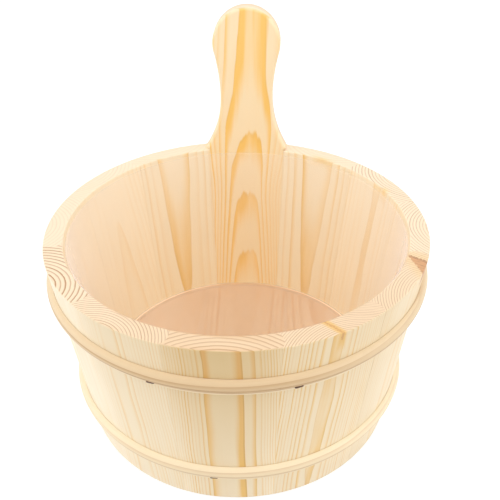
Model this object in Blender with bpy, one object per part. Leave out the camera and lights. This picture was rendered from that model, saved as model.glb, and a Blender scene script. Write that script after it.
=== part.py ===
"""Coopered sauna bucket with a long-stave handle, two bent hoops and a lift-out liner.

Metres, +Z up. The foot of the staves stands on z = 0 and the handle is on the +Y side.
"""
import math

import bmesh
import bpy
from mathutils import Matrix, Vector

# Coopered body
RIM_RADIUS = 0.120
BASE_RADIUS = 0.1054
BODY_HEIGHT = 0.1334
STAVE_THICKNESS = 0.012
STAVE_COUNT = 12
STAVE_FACETS = 6
RIM_EASING = 0.0008
BEAD_HEIGHT = 0.0022
FIT_GAP = 0.0003

# Handle, cut from the stave that runs on above the rim
WAIST_RISE = 0.0386
NECK_LENGTH = 0.039
HEAD_RADIUS = 0.0242
WAIST_CUT = 0.0051
EDGE_ROUND = 0.0022
ROUND_FACETS = 3
FLARE_STEPS = 5
NECK_STEPS = 4
HEAD_STEPS = 8

# Bottom boards, let into a groove near the foot
CHIME_DEPTH = 0.004
BOARD_THICKNESS = 0.009
BOARD_COUNT = 3
CROZE_DEPTH = 0.004

# Hoops, half-round strip with a thin lip along the lower edge
HOOP_WIDTH = 0.0114
HOOP_THICKNESS = 0.0042
HOOP_LIP_WIDTH = 0.0026
HOOP_LIP_THICKNESS = 0.0012
HOOP_TOP_EDGE = 0.0006
HOOP_ARC_FACETS = 6
HOOP_MITRE = 0.008
UPPER_HOOP_DROP = 0.0266
LOWER_HOOP_RISE = 0.0277

# Staples, placed by their angle in degrees from the front, towards +X
STAPLE_CROWN = 0.0052
STAPLE_WIRE = 0.0007
STAPLE_WIDTH = 0.0011
STAPLE_BITE = 0.006
STAPLE_PROUD = 0.0005
STAPLE_TILT = 6.0
UPPER_STAPLE_ANGLES = (-19.3, 19.9, 117.0, 172.0, -172.0, -117.0)
LOWER_STAPLE_ANGLES = (-52.3, -4.2, 49.5, 112.0, 172.0, -172.0, -112.0)

# Plastic liner
LINER_WALL = 0.0012
LINER_SLACK = 0.0004
LINER_DROP = 0.0032
LINER_FILLET = 0.002
LINER_FILLET_FACETS = 4

SMOOTH_ANGLE = math.radians(32)

# Values that follow from the sizes above
PITCH = 2 * math.pi / STAVE_COUNT
HALF_PITCH = PITCH / 2
FACET = PITCH / STAVE_FACETS
ROUND_STEPS = STAVE_COUNT * STAVE_FACETS
SIDE_STEPS = 2 * ROUND_FACETS + 1
FRONT = -math.pi / 2
BACK = math.pi / 2
FIRST_JOINT = BACK - HALF_PITCH
LEAN = math.atan2(RIM_RADIUS - BASE_RADIUS, BODY_HEIGHT)
BEAD_RADIUS = (STAVE_THICKNESS ** 2 / 4 + BEAD_HEIGHT ** 2) / (2 * BEAD_HEIGHT)
WAIST_WIDTH = HEAD_RADIUS - WAIST_CUT
WAIST_HEIGHT = BODY_HEIGHT + WAIST_RISE
HEAD_HEIGHT = WAIST_HEIGHT + NECK_LENGTH
FLARE_SPREAD = RIM_RADIUS * math.sin(HALF_PITCH) - WAIST_WIDTH
FLARE_RADIUS = (FLARE_SPREAD ** 2 + WAIST_RISE ** 2) / (2 * FLARE_SPREAD)
NECK_RADIUS = (NECK_LENGTH ** 2 + WAIST_WIDTH ** 2 - HEAD_RADIUS ** 2) / (2 * WAIST_CUT)
NECK_TURN = math.asin(NECK_LENGTH / (NECK_RADIUS + HEAD_RADIUS))
HEAD_STEP = (math.pi / 2 + NECK_TURN) / (HEAD_STEPS + 0.5)
BOARD_TOP = CHIME_DEPTH + BOARD_THICKNESS
UPPER_HOOP_HEIGHT = BODY_HEIGHT - UPPER_HOOP_DROP


def outer_radius(z):
    """Outside of the staves at a height; the cone runs on above the rim."""
    return BASE_RADIUS + z * math.tan(LEAN)


def inner_radius(z):
    return outer_radius(z) - STAVE_THICKNESS


def middle_radius(z):
    return outer_radius(z) - STAVE_THICKNESS / 2


CROZE_RADIUS = inner_radius(CHIME_DEPTH + BOARD_THICKNESS / 2) + CROZE_DEPTH


def polar(angle, radial, sideways, z):
    """Point at a distance out along an angle, sideways from that line and up."""
    x = radial * math.cos(angle) - sideways * math.sin(angle)
    y = radial * math.sin(angle) + sideways * math.cos(angle)
    return Vector((x, y, z))


def on_cone(height, up, out):
    """Radius and height of a point up along the staves and out from their outside."""
    radius = outer_radius(height) + up * math.sin(LEAN) + out * math.cos(LEAN)
    return radius, height + up * math.cos(LEAN) - out * math.sin(LEAN)


def make_material(name, colour, roughness, metallic=0.0):
    material = bpy.data.materials.new(name)
    material.use_nodes = True
    shader = material.node_tree.nodes["Principled BSDF"]
    shader.inputs["Base Color"].default_value = (*colour, 1.0)
    shader.inputs["Roughness"].default_value = roughness
    shader.inputs["Metallic"].default_value = metallic
    material.diffuse_color = (*colour, 1.0)
    return material


def add_empty(name, location, parent=None):
    empty = bpy.data.objects.new(name, None)
    bpy.context.scene.collection.objects.link(empty)
    empty.location = location
    empty.parent = parent
    return empty


def add_object(name, bm, material, parent):
    bmesh.ops.recalc_face_normals(bm, faces=bm.faces)
    mesh = bpy.data.meshes.new(name)
    bm.to_mesh(mesh)
    bm.free()
    mesh.shade_smooth()
    mesh.set_sharp_from_angle(angle=SMOOTH_ANGLE)
    if material:
        mesh.materials.append(material)
    obj = bpy.data.objects.new(name, mesh)
    bpy.context.scene.collection.objects.link(obj)
    obj.parent = parent
    return obj


def as_cutter(obj):
    obj.hide_render = True
    obj.display_type = "WIRE"
    return obj


def cut_by(obj, cutter):
    modifier = obj.modifiers.new(cutter.name, "BOOLEAN")
    modifier.operation = "DIFFERENCE"
    modifier.solver = "EXACT"
    modifier.object = cutter


def join_rings(bm, rows):
    """Quads between neighbouring closed rows; returns the vertices of each row."""
    rings = [[bm.verts.new(point) for point in row] for row in rows]
    for low, high in zip(rings, rings[1:]):
        for i in range(len(low)):
            j = (i + 1) % len(low)
            bm.faces.new((low[i], low[j], high[j], high[i]))
    return rings


def loft(rows):
    """Closed solid through the rows, with a flat face at each end."""
    bm = bmesh.new()
    rings = join_rings(bm, rows)
    bm.faces.new(rings[0])
    bm.faces.new(rings[-1])
    return bm


def revolve(profile):
    """Closed solid turned from a profile of (radius, height), on the staves' own facets."""
    bm = bmesh.new()
    rings = []
    for radius, z in profile:
        if radius == 0:
            rings.append([bm.verts.new((0, 0, z))] * ROUND_STEPS)
            continue
        rings.append([bm.verts.new(polar(FIRST_JOINT + FACET * i, radius, 0, z)) for i in range(ROUND_STEPS)])
    closed = profile[0][0] != 0
    following = rings[1:] + rings[:1] if closed else rings[1:]
    for one, two in zip(rings, following):
        for i in range(ROUND_STEPS):
            j = (i + 1) % ROUND_STEPS
            corners = dict.fromkeys((one[i], one[j], two[j], two[i]))
            bm.faces.new(tuple(corners))
    return bm


# Staves

def joint_bulge(across):
    """How far the round joint line stands past its radial plane, off mid-thickness."""
    return math.sqrt(BEAD_RADIUS ** 2 - across ** 2) - (BEAD_RADIUS - BEAD_HEIGHT)


def section_loop(cove, bead, outer_face, inner_face):
    """One closed row: outside, bead edge inwards, inside, cove edge back out."""
    return [cove[0]] + outer_face + bead + inner_face + cove[:0:-1]


def stave_section(centre, z, easing=0.0):
    outer = outer_radius(z) - easing
    inner = inner_radius(z) + easing
    radii = [outer + (inner - outer) * i / SIDE_STEPS for i in range(SIDE_STEPS + 1)]
    bulges = [joint_bulge(radius - middle_radius(z)) for radius in radii]
    bead = [polar(centre + HALF_PITCH, r, b - FIT_GAP / 2, z) for r, b in zip(radii, bulges)]
    cove = [polar(centre - HALF_PITCH, r, b + FIT_GAP / 2, z) for r, b in zip(radii, bulges)]
    angles = [centre - HALF_PITCH + FACET * i for i in range(1, STAVE_FACETS)]
    outer_face = [polar(angle, outer, 0, z) for angle in angles]
    inner_face = [polar(angle, inner, 0, z) for angle in reversed(angles)]
    return section_loop(cove, bead, outer_face, inner_face)


def body_stave(centre):
    rows = [
        stave_section(centre, 0),
        stave_section(centre, BODY_HEIGHT - RIM_EASING),
        stave_section(centre, BODY_HEIGHT, RIM_EASING),
    ]
    return loft(rows)


# Handle stave

def handle_outline():
    """Half width, height and outward normal along the edge, from the rim to the head's top."""
    start = WAIST_HEIGHT - BODY_HEIGHT - EDGE_ROUND
    first_turn = math.asin(start / FLARE_RADIUS)
    for i in range(FLARE_STEPS + 1):
        turn = first_turn * (1 - i / FLARE_STEPS)
        width = WAIST_WIDTH + FLARE_RADIUS * (1 - math.cos(turn))
        yield width, WAIST_HEIGHT - FLARE_RADIUS * math.sin(turn), math.cos(turn), math.sin(turn)
    for i in range(1, NECK_STEPS + 1):
        turn = NECK_TURN * i / NECK_STEPS
        width = WAIST_WIDTH + NECK_RADIUS * (1 - math.cos(turn))
        yield width, WAIST_HEIGHT + NECK_RADIUS * math.sin(turn), math.cos(turn), -math.sin(turn)
    for i in range(1, HEAD_STEPS + 1):
        turn = HEAD_STEP * i - NECK_TURN
        width = HEAD_RADIUS * math.cos(turn)
        yield width, HEAD_HEIGHT + HEAD_RADIUS * math.sin(turn), math.cos(turn), math.sin(turn)


def handle_point(sideways, z, off):
    """Point off the middle of the curved stave, sawn square to its chord."""
    radius = middle_radius(z) + off
    return polar(BACK, math.sqrt(radius ** 2 - sideways ** 2), sideways, z)


def handle_section(width, height, normal_out, normal_up):
    """Row across the handle: two curved faces and edges rounded over along the outline."""
    turns = [math.pi / 2 * i / ROUND_FACETS for i in range(ROUND_FACETS + 1)]
    edge = [(turn, 1) for turn in turns] + [(turn, -1) for turn in reversed(turns)]
    side = []
    for turn, face in edge:
        inset = EDGE_ROUND * (1 - math.sin(turn))
        off = face * (STAVE_THICKNESS / 2 - EDGE_ROUND * (1 - math.cos(turn)))
        side.append((width - inset * normal_out, height - inset * normal_up, off))
    bead = [handle_point(sideways, z, off) for sideways, z, off in side]
    cove = [handle_point(-sideways, z, off) for sideways, z, off in side]
    face_width, face_height, half = side[0]
    spread = [face_width * (2 * i / STAVE_FACETS - 1) for i in range(1, STAVE_FACETS)]
    outer_face = [handle_point(s, face_height, half) for s in spread]
    inner_face = [handle_point(s, face_height, -half) for s in reversed(spread)]
    return section_loop(cove, bead, outer_face, inner_face)


def handle_stave():
    rows = [stave_section(BACK, 0), stave_section(BACK, BODY_HEIGHT)]
    rows += [handle_section(*station) for station in handle_outline()]
    bm = bmesh.new()
    rings = join_rings(bm, rows)
    bm.faces.new(rings[0])
    top = rings[-1]
    bead_start = STAVE_FACETS
    bead = top[bead_start:bead_start + SIDE_STEPS + 1]
    cove = [top[0]] + top[:-SIDE_STEPS - 1:-1]
    outer_face = top[1:bead_start]
    inner_face = top[bead_start + SIDE_STEPS + 1:-SIDE_STEPS]
    bm.faces.new([cove[0]] + outer_face + [bead[0], bead[1], cove[1]])
    for i in range(1, SIDE_STEPS - 1):
        bm.faces.new((bead[i], bead[i + 1], cove[i + 1], cove[i]))
    bm.faces.new([bead[-2], bead[-1]] + inner_face + [cove[-1], cove[-2]])
    return bm


# Bottom

def croze_cutter():
    low = CHIME_DEPTH - FIT_GAP
    high = BOARD_TOP + FIT_GAP
    inside = CROZE_RADIUS - 2 * CROZE_DEPTH
    return revolve([(CROZE_RADIUS, high), (CROZE_RADIUS, low), (inside, low), (inside, high)])


def bottom_board(index):
    """One plank of the round bottom, between two straight edges along Y."""
    bm = bmesh.new()
    radius = CROZE_RADIUS - FIT_GAP
    corners = [bm.verts.new(polar(FIRST_JOINT + FACET * i, radius, 0, CHIME_DEPTH)) for i in range(ROUND_STEPS)]
    disc = bm.faces.new(corners)
    raised = bmesh.ops.extrude_face_region(bm, geom=[disc], use_keep_orig=True)["geom"]
    moved = [item for item in raised if isinstance(item, bmesh.types.BMVert)]
    bmesh.ops.translate(bm, verts=moved, vec=(0, 0, BOARD_THICKNESS))
    plank = 2 * radius / BOARD_COUNT
    edges = []
    if index > 0:
        edges.append((-radius + plank * index + FIT_GAP / 2, -1))
    if index < BOARD_COUNT - 1:
        edges.append((-radius + plank * (index + 1) - FIT_GAP / 2, 1))
    for x, direction in edges:
        geom = bm.verts[:] + bm.edges[:] + bm.faces[:]
        cut = bmesh.ops.bisect_plane(
            bm, geom=geom, dist=1e-6, plane_co=(x, 0, 0), plane_no=(direction, 0, 0), clear_outer=True)
        rim = [item for item in cut["geom_cut"] if isinstance(item, bmesh.types.BMEdge)]
        bmesh.ops.edgeloop_fill(bm, edges=rim)
    return bm


# Hoops

def hoop_profile():
    """Up along the staves and out from them: flat back, lip, half-round face, thin top edge."""
    low = -HOOP_WIDTH / 2
    back = FIT_GAP
    half = (HOOP_WIDTH - HOOP_LIP_WIDTH) / 2
    middle = low + HOOP_LIP_WIDTH + half
    first = math.asin(HOOP_LIP_THICKNESS / HOOP_THICKNESS)
    last = math.pi - math.asin(HOOP_TOP_EDGE / HOOP_THICKNESS)
    points = [(low, back), (low, back + HOOP_LIP_THICKNESS)]
    for i in range(HOOP_ARC_FACETS + 1):
        turn = first + (last - first) * i / HOOP_ARC_FACETS
        points.append((middle - half * math.cos(turn), back + HOOP_THICKNESS * math.sin(turn)))
    points.append((points[-1][0], back))
    return points


def hoop(height):
    """Strip bent once round the staves, its ends mitred and butted below the handle."""
    profile = hoop_profile()
    rows = []
    for i in range(ROUND_STEPS + 1):
        row = []
        for up, out in profile:
            radius, z = on_cone(height, up, out)
            angle = BACK + FACET * i
            if i == 0:
                angle += (HOOP_MITRE * up / HOOP_WIDTH + FIT_GAP / 2) / radius
            if i == ROUND_STEPS:
                angle += (HOOP_MITRE * up / HOOP_WIDTH - FIT_GAP / 2) / radius
            row.append(polar(angle, radius, 0, z))
        rows.append(row)
    return loft(rows)


# Staples

def staple_outline(grow, crown_top):
    """Staple seen along the staves: crown across the top, a leg at each end."""
    outside = STAPLE_CROWN / 2 + grow
    inside = STAPLE_CROWN / 2 - STAPLE_WIRE - grow
    under = FIT_GAP + HOOP_LIP_THICKNESS + STAPLE_PROUD - STAPLE_WIRE - grow
    tip = -STAPLE_BITE - grow
    right = [(outside, crown_top), (outside, tip), (inside, tip), (inside, under)]
    left = [(-across, out) for across, out in reversed(right)]
    return right + left


def staple(grow, crown_top):
    half = STAPLE_WIDTH / 2 + grow
    outline = staple_outline(grow, crown_top)
    return loft([[(x, y, z) for x, z in outline] for y in (-half, half)])


def staple_place(height, degrees):
    """Frame on the middle of the hoop's lip: X along the hoop, Y up the staves, Z straight out."""
    angle = FRONT + math.radians(degrees)
    radius, z = on_cone(height, (HOOP_LIP_WIDTH - HOOP_WIDTH) / 2, 0)
    frame = Matrix.Rotation(angle, 4, "Z") @ Matrix.Rotation(math.pi / 2, 4, "Z")
    lean = Matrix.Rotation(math.pi / 2 + LEAN, 4, "X")
    tilt = Matrix.Rotation(math.radians(STAPLE_TILT), 4, "Z")
    return Matrix.Translation(polar(angle, radius, 0, z)) @ frame @ lean @ tilt


# Liner

def liner():
    """Thin tapered cup that stands on the bottom boards, a little clear of the staves."""
    foot = BOARD_TOP + FIT_GAP
    floor = foot + LINER_WALL
    top = BODY_HEIGHT - LINER_DROP
    wall = LINER_WALL / math.cos(LEAN)
    touch = floor + LINER_FILLET * (1 - math.sin(LEAN))
    centre_radius = inner_radius(touch) - LINER_SLACK - wall - LINER_FILLET * math.cos(LEAN)
    centre_height = floor + LINER_FILLET
    turns = [(math.pi / 2 - LEAN) * i / LINER_FILLET_FACETS - math.pi / 2 for i in range(LINER_FILLET_FACETS + 1)]

    def corner(radius):
        return [(centre_radius + radius * math.cos(t), centre_height + radius * math.sin(t)) for t in turns]

    shoulder = top - wall / 2
    lip_outside = inner_radius(shoulder) - LINER_SLACK
    profile = [(0, floor)] + corner(LINER_FILLET)
    profile += [(lip_outside - wall, shoulder), (lip_outside - wall / 2, top), (lip_outside, shoulder)]
    profile += corner(LINER_FILLET + LINER_WALL)[::-1] + [(0, foot)]
    return revolve(profile)


def axis_offset():
    """How far the bucket's axis stands in front of the middle of its overall depth."""
    front = max(on_cone(UPPER_HOOP_HEIGHT, up, out)[0] for up, out in hoop_profile())
    top = HEAD_HEIGHT + (HEAD_RADIUS - EDGE_ROUND) * math.cos(HEAD_STEP / 2)
    return (front - outer_radius(top)) / 2


def build():
    for obj in list(bpy.data.objects):
        bpy.data.objects.remove(obj, do_unlink=True)

    pine = make_material("pine", (0.86, 0.70, 0.46), 0.55)
    handle_pine = make_material("handle_pine", (0.87, 0.68, 0.40), 0.5)
    board_pine = make_material("board_pine", (0.82, 0.66, 0.43), 0.6)
    hoop_wood = make_material("hoop_wood", (0.88, 0.74, 0.50), 0.5)
    steel = make_material("staple_steel", (0.16, 0.14, 0.12), 0.45, 1.0)
    plastic = make_material("liner_plastic", (0.90, 0.73, 0.60), 0.3)

    axis = add_empty("bucket_axis", (0, axis_offset(), 0))
    lift = add_empty("liner_lift", (0, 0, BOARD_TOP + FIT_GAP), axis)

    croze = as_cutter(add_object("croze_cutter", croze_cutter(), None, axis))
    staves = []
    for i in range(STAVE_COUNT):
        centre = BACK + PITCH * i
        if i == 0:
            stave = add_object("handle_stave", handle_stave(), handle_pine, axis)
        else:
            stave = add_object(f"stave_{i:02d}", body_stave(centre), pine, axis)
        cut_by(stave, croze)
        staves.append((centre, stave))

    for i in range(BOARD_COUNT):
        add_object(f"bottom_board_{i + 1}", bottom_board(i), board_pine, axis)

    staple_top = FIT_GAP + HOOP_LIP_THICKNESS + STAPLE_PROUD
    pocket_top = FIT_GAP + HOOP_THICKNESS + STAPLE_WIRE
    staple_reach = HALF_PITCH + (STAPLE_CROWN + BEAD_HEIGHT) / BASE_RADIUS
    hoops = (
        ("upper_hoop", UPPER_HOOP_HEIGHT, UPPER_STAPLE_ANGLES),
        ("lower_hoop", LOWER_HOOP_RISE, LOWER_STAPLE_ANGLES),
    )
    for name, height, angles in hoops:
        strip = add_object(name, hoop(height), hoop_wood, axis)
        for number, degrees in enumerate(angles, 1):
            place = staple_place(height, degrees)
            pin = add_object(f"{name}_staple_{number}", staple(0, staple_top), steel, axis)
            pin.matrix_local = place
            pocket = add_object(f"{name}_pocket_{number}", staple(FIT_GAP, pocket_top), None, axis)
            pocket.matrix_local = place
            cut_by(strip, as_cutter(pocket))
            for centre, stave in staves:
                apart = FRONT + math.radians(degrees) - centre
                if abs(math.remainder(apart, 2 * math.pi)) < staple_reach:
                    cut_by(stave, pocket)

    cup = add_object("plastic_liner", liner(), plastic, lift)
    cup.location = (0, 0, -lift.location.z)


build()
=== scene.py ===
import math

import bmesh
import bpy
import mathutils
import numpy as np
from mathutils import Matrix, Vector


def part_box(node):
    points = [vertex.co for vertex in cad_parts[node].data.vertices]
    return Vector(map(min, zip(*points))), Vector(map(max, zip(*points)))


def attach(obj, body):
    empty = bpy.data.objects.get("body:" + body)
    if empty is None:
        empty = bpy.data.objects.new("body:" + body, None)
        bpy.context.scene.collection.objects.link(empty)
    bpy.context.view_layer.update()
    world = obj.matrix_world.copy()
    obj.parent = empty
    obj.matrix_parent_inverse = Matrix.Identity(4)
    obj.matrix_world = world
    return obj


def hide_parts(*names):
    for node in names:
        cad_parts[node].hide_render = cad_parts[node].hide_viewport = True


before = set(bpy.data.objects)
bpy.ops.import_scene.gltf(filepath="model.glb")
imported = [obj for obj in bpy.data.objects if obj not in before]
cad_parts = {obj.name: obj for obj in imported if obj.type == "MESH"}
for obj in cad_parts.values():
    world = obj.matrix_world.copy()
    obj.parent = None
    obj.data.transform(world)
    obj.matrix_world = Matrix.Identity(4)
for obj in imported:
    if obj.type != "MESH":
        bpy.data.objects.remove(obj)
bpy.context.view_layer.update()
scene = bpy.context.scene
print("frame loaded with", len(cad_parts), "nodes")

# Sizes that all the coopered pieces share, in metres
bucket = {
    "rimRadius": 0.120,
    "baseRadius": 0.1054,
    "height": 0.1334,
    "wall": 0.012,
    "staves": 12,
}
linerLow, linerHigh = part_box("plastic_liner")
axisY = (linerLow.y + linerHigh.y) / 2  # the bucket's own axis, a little in front of the origin
slope = (bucket["rimRadius"] - bucket["baseRadius"]) / bucket["height"]
lean = math.atan(slope)
leanCos = math.cos(lean)
leanSin = math.sin(lean)
halfPitch = math.pi / bucket["staves"]
halfStave = bucket["rimRadius"] * math.sin(halfPitch)
backAngle = math.pi / 2
frontAngle = -math.pi / 2
creaseAngle = math.radians(38)  # edges sharper than this are not smoothed
mm = 1000  # millimetres in a metre


def outerRadius(z):
    # outside of the staves: the base radius plus the cone's slope times the height
    return bucket["baseRadius"] + slope * z


def sideBySide(*parts):
    # three arrays, or single values, as one array of triples
    return np.stack(np.broadcast_arrays(*parts), axis=-1)


def polarPoints(angle, radial, sideways, z):
    # out along an angle from the bucket's axis, then sideways at a right angle to it, and up
    x = radial * np.cos(angle) - sideways * np.sin(angle)
    y = axisY + radial * np.sin(angle) + sideways * np.cos(angle)
    return sideBySide(x, y, z)


def conePoints(angle, height, up, out, sideways=0.0):
    # up along the staves from a height, straight out from their outside, and sideways
    radial = outerRadius(height) + up * leanSin + out * leanCos
    return polarPoints(angle, radial, sideways, height + up * leanCos - out * leanSin)


def boardCoordinates(points, centre):
    # millimetres across a stave, out from its outside face, and along its length
    x = points[..., 0]
    y = points[..., 1] - axisY
    radial = x * math.cos(centre) + y * math.sin(centre) - bucket["baseRadius"]
    sideways = y * math.cos(centre) - x * math.sin(centre)
    out = radial * leanCos - points[..., 2] * leanSin
    along = radial * leanSin + points[..., 2] * leanCos
    return sideways * mm, out * mm, along * mm


def gridQuads(rows, columns):
    # the four corners of every cell; each row closes on itself
    i = np.arange(rows - 1)[:, None]
    j = np.arange(columns)[None, :]
    nextRow = (i + 1) * columns
    nextColumn = (j + 1) % columns
    corners = [i * columns + j, i * columns + nextColumn, nextRow + nextColumn, nextRow + j]
    return np.stack(corners, axis=-1).reshape(-1, 4).tolist()


def closedFaces(grid):
    # the cells between the rows, and one face over each of the two end rows
    rows, columns = grid.shape[:2]
    ends = [list(range(columns)), list(range((rows - 1) * columns, rows * columns))]
    return gridQuads(rows, columns) + ends


def addPiece(name, grid, material, body, slotName, *nodes, faces=None):
    mesh = bpy.data.meshes.new(name)
    mesh.from_pydata(grid.reshape(-1, 3).tolist(), [], faces or closedFaces(grid))
    shell = bmesh.new()
    shell.from_mesh(mesh)
    bmesh.ops.recalc_face_normals(shell, faces=shell.faces)
    shell.to_mesh(mesh)
    shell.free()
    mesh.shade_smooth()
    mesh.set_sharp_from_angle(angle=creaseAngle)
    mesh.materials.append(material)
    piece = bpy.data.objects.new(name, mesh)
    scene.collection.objects.link(piece)
    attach(piece, body)
    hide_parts(*nodes)
    return piece


def addVectors(piece, label, vectors):
    layer = piece.data.attributes.new(label, "FLOAT_VECTOR", "POINT")
    layer.data.foreach_set("vector", np.ascontiguousarray(vectors, dtype=np.float32).ravel())


def addValues(piece, label, values):
    layer = piece.data.attributes.new(label, "FLOAT", "POINT")
    layer.data.foreach_set("value", np.ascontiguousarray(values, dtype=np.float32).ravel())


# Shader building blocks

def ink(red, green, blue):
    # a screen colour of 0 to 255 as the linear colour that renders like it
    screen = np.array([red, green, blue]) / 255
    linear = np.where(screen > 0.04045, ((screen + 0.055) / 1.055) ** 2.4, screen / 12.92)
    return (*linear.tolist(), 1.0)


def feed(node, feeds):
    # links sockets to a node's inputs, and sets the inputs that get plain values
    for place, value in dict(feeds).items():
        if isinstance(value, bpy.types.NodeSocket):
            node.id_data.links.new(value, node.inputs[place])
        else:
            node.inputs[place].default_value = value


def addNode(tree, kind, feeds=(), **settings):
    made = tree.nodes.new("ShaderNode" + kind)
    for label, value in settings.items():
        setattr(made, label, value)
    feed(made, feeds)
    return made


def newMaterial(name):
    material = bpy.data.materials.new(name)
    material.use_nodes = True
    return material, material.node_tree, material.node_tree.nodes["Principled BSDF"]


def readAttribute(tree, name, output="Fac"):
    return addNode(tree, "Attribute", attribute_name=name).outputs[output]


def feedNode(kind, feeds, output=0, **settings):
    # the output of a new node, in the tree of the sockets that feed it
    feeds = dict(feeds)
    sockets = [value for value in feeds.values() if isinstance(value, bpy.types.NodeSocket)]
    return addNode(sockets[0].id_data, kind, feeds, **settings).outputs[output]


def calc(operation, *values):
    return feedNode("Math", enumerate(values), operation=operation)


def chain(operation, first, *others):
    # the same sum on any number of values, from the left
    for value in others:
        first = calc(operation, first, value)
    return first


def times(*values):
    return chain("MULTIPLY", *values)


def plus(*values):
    return chain("ADD", *values)


def rest(value):
    return calc("SUBTRACT", 1.0, value)


def stepUp(value, low, high):
    feeds = {"Value": value, "From Min": low, "From Max": high}
    return feedNode("MapRange", feeds, interpolation_type="SMOOTHSTEP")


def spread(value, low, high):
    return feedNode("MapRange", {"Value": value, "To Min": low, "To Max": high})


def mixColours(share, one, two):
    return feedNode("Mix", {0: share, 6: one, 7: two}, 2, data_type="RGBA")


def stretched(vector, across, along):
    return feedNode("VectorMath", {0: vector, 1: (across, across, along)}, operation="MULTIPLY")


def noise(vector, detail=2.0):
    return feedNode("TexNoise", {"Vector": vector, "Scale": 1.0, "Detail": detail})


def swing(value, size):
    # a noise value as plus or minus half a size
    return times(calc("SUBTRACT", value, 0.5), size)


# Look of the wood. Scales are counts per ring across the grain and along it, and for the streaks along the
# knot's three planes. Swings are how far a noise moves a share. A pair that ends in Knot is the value for a
# knot and the value for resin.
pine = {
    "slowScale": (0.10, 0.02), "jagScale": (0.9, 0.06), "patchScale": (0.3, 0.012),
    "fibreScale": (3.0, 0.08), "blotchScale": (0.22, 0.03), "poreScale": (8.0, 0.4),
    "raggedScale": (1.4, 0.5), "streakScale": (1.2, 4.0, 0.6), "yearScale": 0.5,
    "fibreSwing": 0.12, "blotchSwing": 0.3, "poreSwing": 0.25, "streakSwing": 3.6,
    "patchRange": (0.3, 0.7), "lineRange": (0.84, 0.96), "endRange": (0.5, 0.9),
    "coreRange": (0.8, 1.05), "haloRange": (1.0, 3.0), "barkRange": (0.35, 1.0),
    "patchStrength": (0.5, 1.3), "endStrength": (0.5, 0.9), "lineWhenWarm": 0.45, "unequalShare": 0.6,
    "bendKnot": (1.3, 0.0), "raggedKnot": (0.7, 2.2), "haloKnot": (0.3, 0.85),
    "barkKnot": (1.0, 0.3), "coreKnot": (0.85, 0.6), "knotReach": 3.0,
    "roughness": 0.5, "fibreRoughness": 0.16, "lateGloss": 0.06, "endRoughness": 0.14,
    "lateHollow": 0.5, "bumpDepth": 0.0003,
}
ringInputs = {
    "Vector": ("Grain", "Fibres", "Tone", "Knot"),
    "Float": ("End", "Figure", "End Figure", "Knot Tint", "Contrast", "Weakest", "Line", "Onset", "Edge",
              "Wander", "Jag"),
    "Color": ("Pale", "Warm Pale", "Amber", "Light Amber", "End Pale", "Light End", "End Line", "Side Line",
              "Knot Brown", "Knot Dark", "Knot Resin"),
}
ringOutputs = {"Color": ("Color",), "Float": ("Roughness", "Height")}


def woodNoise(vector, label, detail=2.0):
    return noise(stretched(vector, *pine[label]), detail)


def ringYears(take, tone, knot):
    # Distance from the tree's heart, in rings, plus slow and fine wander; rings flow round a knot, but not
    # round resin. Gives how far through its year the wood grew, and how strong that year shows.
    flat = stretched(take["Grain"], 1.0, 0.0)
    heart = feedNode("VectorMath", {0: flat}, "Value", operation="LENGTH")
    slow = swing(woodNoise(take["Grain"], "slowScale"), take["Wander"])
    fine = swing(woodNoise(take["Fibres"], "jagScale", 1.0), take["Jag"])
    fade = calc("DIVIDE", times(knot, knot), -pine["knotReach"])
    bend = times(calc("EXPONENT", fade), spread(take["Knot Tint"], *pine["bendKnot"]))
    distance = plus(heart, slow, fine, bend)
    years = feedNode("CombineXYZ", {0: times(distance, pine["yearScale"]), 1: tone[2]})
    unequal = swing(noise(years, 0.0), times(take["Wander"], pine["unequalShare"]))
    phase = plus(distance, unequal, tone[0])
    year = calc("FLOOR", phase)
    season = calc("ROUND", plus(year, tone[2]))
    strength = feedNode("TexWhiteNoise", {"W": season}, noise_dimensions="1D")
    return calc("SUBTRACT", phase, year), strength


def sideColour(take, warm, part, strength, late, fall, fibre, amber):
    # early wood darkens to late wood, by the year's strength, with a thin line where the year ends
    patchy = stepUp(woodNoise(take["Fibres"], "patchScale", 1.0), *pine["patchRange"])
    patchy = spread(patchy, *pine["patchStrength"])
    yearly = spread(strength, take["Weakest"], 1.0)
    figure = times(yearly, take["Figure"], patchy)
    share = times(late, figure, take["Contrast"])
    blotch = swing(woodNoise(take["Fibres"], "blotchScale"), pine["blotchSwing"])
    share = plus(share, swing(fibre, pine["fibreSwing"]), blotch)
    side = mixColours(share, mixColours(warm, take["Pale"], take["Warm Pale"]), amber)
    line = times(stepUp(part, *pine["lineRange"]), fall, figure, take["Line"])
    line = times(line, spread(warm, 1.0, pine["lineWhenWarm"]))
    return mixColours(line, side, take["Side Line"])


def endColour(take, warm, part, strength, fall):
    # on the sawn ends late wood shows as lines between fine pores
    late = times(stepUp(part, *pine["endRange"]), fall)
    figure = times(spread(strength, *pine["endStrength"]), take["End Figure"])
    pores = swing(woodNoise(take["Fibres"], "poreScale", 3.0), pine["poreSwing"])
    share = plus(times(late, figure), pores)
    pale = mixColours(warm, take["End Pale"], take["Light End"])
    return mixColours(share, pale, take["End Line"])


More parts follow.
